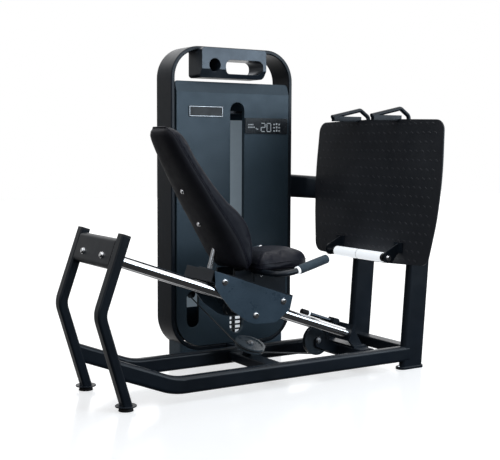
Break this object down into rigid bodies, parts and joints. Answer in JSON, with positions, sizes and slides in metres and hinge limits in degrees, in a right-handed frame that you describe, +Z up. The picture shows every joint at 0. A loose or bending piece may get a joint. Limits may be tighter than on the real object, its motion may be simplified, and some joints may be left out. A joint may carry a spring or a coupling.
{
  "type": "leg press machine",
  "caption": "Seated leg press: a carriage with seat and backrest rolls on inclined rails away from a fixed foot plate, lifting a pin-selected weight stack by cable.",
  "frame": {"origin": "centre of the footprint, on the floor", "axes": "+X from the back of the seat to the foot plate, +Y from the seat to the weight tower, +Z up"},
  "size_m": [1.748, 1.0765, 1.5],
  "materials": {
    "frame_paint": "semi-gloss black-navy powder coat",
    "cover_paint": "blue-grey metallic lacquer on pressed covers",
    "side_paint": "blue-grey metallic lacquer on the carriage plates",
    "tray_paint": "blue-grey moulded plastic",
    "chrome": "polished chrome",
    "bolt_chrome": "chromed dome caps",
    "steel": "bright turned steel",
    "plate_tread": "matt black pressed tread plate",
    "rubber": "black rubber",
    "cap_plastic": "black moulded plastic",
    "shell_plastic": "black moulded back shell",
    "upholstery": "navy vinyl upholstery",
    "foam": "blue-grey closed-cell foam",
    "sleeve": "silver-white tube sleeve",
    "pulley": "glass-filled nylon",
    "cable": "black nylon coated wire rope",
    "iron": "painted cast iron plates",
    "panel": "dark glossy panel"
  },
  "bodies": {
    "frame": {"accessory_tray": "tray_paint", "base_tubes": "frame_paint", "cable_fixed_span": "cable", "cross_tubes": "frame_paint", "display_panel": "panel", "floor_flanges": "frame_paint", "foot_plate": "plate_tread", "foot_posts": "frame_paint", "foot_roller_axle": "bolt_chrome", "foot_roller_brackets": "frame_paint", "front_cover": "cover_paint", "guide_rails": "chrome", "guide_rods": "chrome", "name_plate": "panel", "plate_standoffs": "frame_paint", "plate_top_hooks": "frame_paint", "pulley_pins": "steel", "rail_and_pulley_brackets": "frame_paint", "rail_end_bolts": "bolt_chrome", "rear_cover": "cover_paint", "rear_cross_beam": "frame_paint", "rear_foot_pads": "rubber", "rear_post_caps": "cap_plastic", "rear_posts": "frame_paint", "stack_cushions": "rubber", "stop_buffer_rod": "steel", "stop_buffer_tip": "rubber", "tower_base_cover": "cover_paint", "tower_brackets": "frame_paint", "tower_frame": "frame_paint", "tower_to_plate_beam": "frame_paint", "weight_plates_lower": "iron"},
    "carriage": {"carriage_plates": "side_paint", "carriage_frame": "frame_paint", "roller_axles": "bolt_chrome", "seat_frame": "frame_paint", "seat_pad": "upholstery", "handle_bar": "frame_paint", "handle_grips": "foam", "grip_collars": "sleeve", "backrest_shell": "shell_plastic", "backrest_pad": "upholstery", "backrest_bolts": "bolt_chrome", "cable_carriage_span": "cable"},
    "stack": {"weight_plates_selected": "iron", "top_weight_plate": "iron", "selector_stem": "steel", "cable_stack_span": "cable"},
    "selector": {"selector_pin": "steel"},
    "lever": {"start_lever": "chrome"},
    "calf_roller": {"foot_roller": "sleeve", "foot_roller_caps": "cap_plastic"},
    "rear_roller_pair": {"rear_rollers": "pulley"},
    "front_roller_pair": {"front_rollers": "pulley"},
    "lower_roller_pair": {"lower_rollers": "pulley"},
    "front_wheel": {"front_pulley": "pulley"},
    "idler_wheel": {"idler_pulley": "pulley"},
    "tower_lower_wheel": {"tower_lower_pulley": "pulley"},
    "tower_top_wheel_a": {"tower_top_pulley_a": "pulley"},
    "tower_top_wheel_b": {"tower_top_pulley_b": "pulley"}
  },
  "joints": [
    {"name": "carriage_slide", "type": "slide", "parent": "frame", "child": "carriage", "axis": [-0.9432, 0, 0.3322], "range_m": [0, 0.4]},
    {"name": "stack_lift", "type": "slide", "parent": "frame", "child": "stack", "axis": [0, 0, 1], "range_m": [0, 0.4], "deforming": ["cable_stack_span"]},
    {"name": "selector_pull", "type": "slide", "parent": "stack", "child": "selector", "axis": [0, -1, 0], "range_m": [0, 0.06]},
    {"name": "lever_tilt", "type": "hinge", "parent": "carriage", "child": "lever", "pos_m": [0.06137, 0.04523, 0.41271], "axis": [0, 1, 0], "range_deg": [0, 25], "stiffness_Nm_per_rad": 3, "springref_deg": -17.19},
    {"name": "rear_rollers_spin", "type": "hinge", "parent": "carriage", "child": "rear_roller_pair", "pos_m": [-0.25534, -0.07677, 0.46196], "axis": [0, 1, 0], "continuous": true},
    {"name": "front_rollers_spin", "type": "hinge", "parent": "carriage", "child": "front_roller_pair", "pos_m": [0.04272, -0.07677, 0.357], "axis": [0, 1, 0], "continuous": true},
    {"name": "lower_rollers_spin", "type": "hinge", "parent": "carriage", "child": "lower_roller_pair", "pos_m": [-0.0998, -0.07677, 0.30753], "axis": [0, 1, 0], "continuous": true},
    {"name": "front_pulley_spin", "type": "hinge", "parent": "frame", "child": "front_wheel", "pos_m": [0.31022, -0.07677, 0.13954], "axis": [0, 1, 0], "continuous": true},
    {"name": "idler_pulley_spin", "type": "hinge", "parent": "frame", "child": "idler_wheel", "pos_m": [-0.01463, -0.01563, 0.139], "axis": [-0.1228, 0.3394, -0.9326], "continuous": true},
    {"name": "tower_lower_pulley_spin", "type": "hinge", "parent": "frame", "child": "tower_lower_wheel", "pos_m": [-0.07914, 0.41523, 0.33198], "axis": [1, 0, 0], "continuous": true},
    {"name": "tower_top_pulley_a_spin", "type": "hinge", "parent": "frame", "child": "tower_top_wheel_a", "pos_m": [-0.03414, 0.44123, 1.262], "axis": [0, 1, 0], "continuous": true},
    {"name": "tower_top_pulley_b_spin", "type": "hinge", "parent": "frame", "child": "tower_top_wheel_b", "pos_m": [0.10237, 0.44123, 1.262], "axis": [0, 1, 0], "continuous": true},
    {"name": "calf_roller_spin", "type": "hinge", "parent": "frame", "child": "calf_roller", "pos_m": [0.54937, -0.07677, 0.528], "axis": [0, 1, 0], "continuous": true}
  ],
  "couplings": [
    {"joint": "stack_lift", "follows": "carriage_slide", "ratio": 1},
    {"joint": "rear_rollers_spin", "follows": "carriage_slide", "rad_per_m": -40},
    {"joint": "front_rollers_spin", "follows": "carriage_slide", "rad_per_m": -40},
    {"joint": "lower_rollers_spin", "follows": "carriage_slide", "rad_per_m": 40},
    {"joint": "front_pulley_spin", "follows": "carriage_slide", "rad_per_m": -15.385},
    {"joint": "idler_pulley_spin", "follows": "carriage_slide", "rad_per_m": -15.385},
    {"joint": "tower_lower_pulley_spin", "follows": "carriage_slide", "rad_per_m": -38.462},
    {"joint": "tower_top_pulley_a_spin", "follows": "carriage_slide", "rad_per_m": -22.222},
    {"joint": "tower_top_pulley_b_spin", "follows": "carriage_slide", "rad_per_m": -22.222}
  ]
}
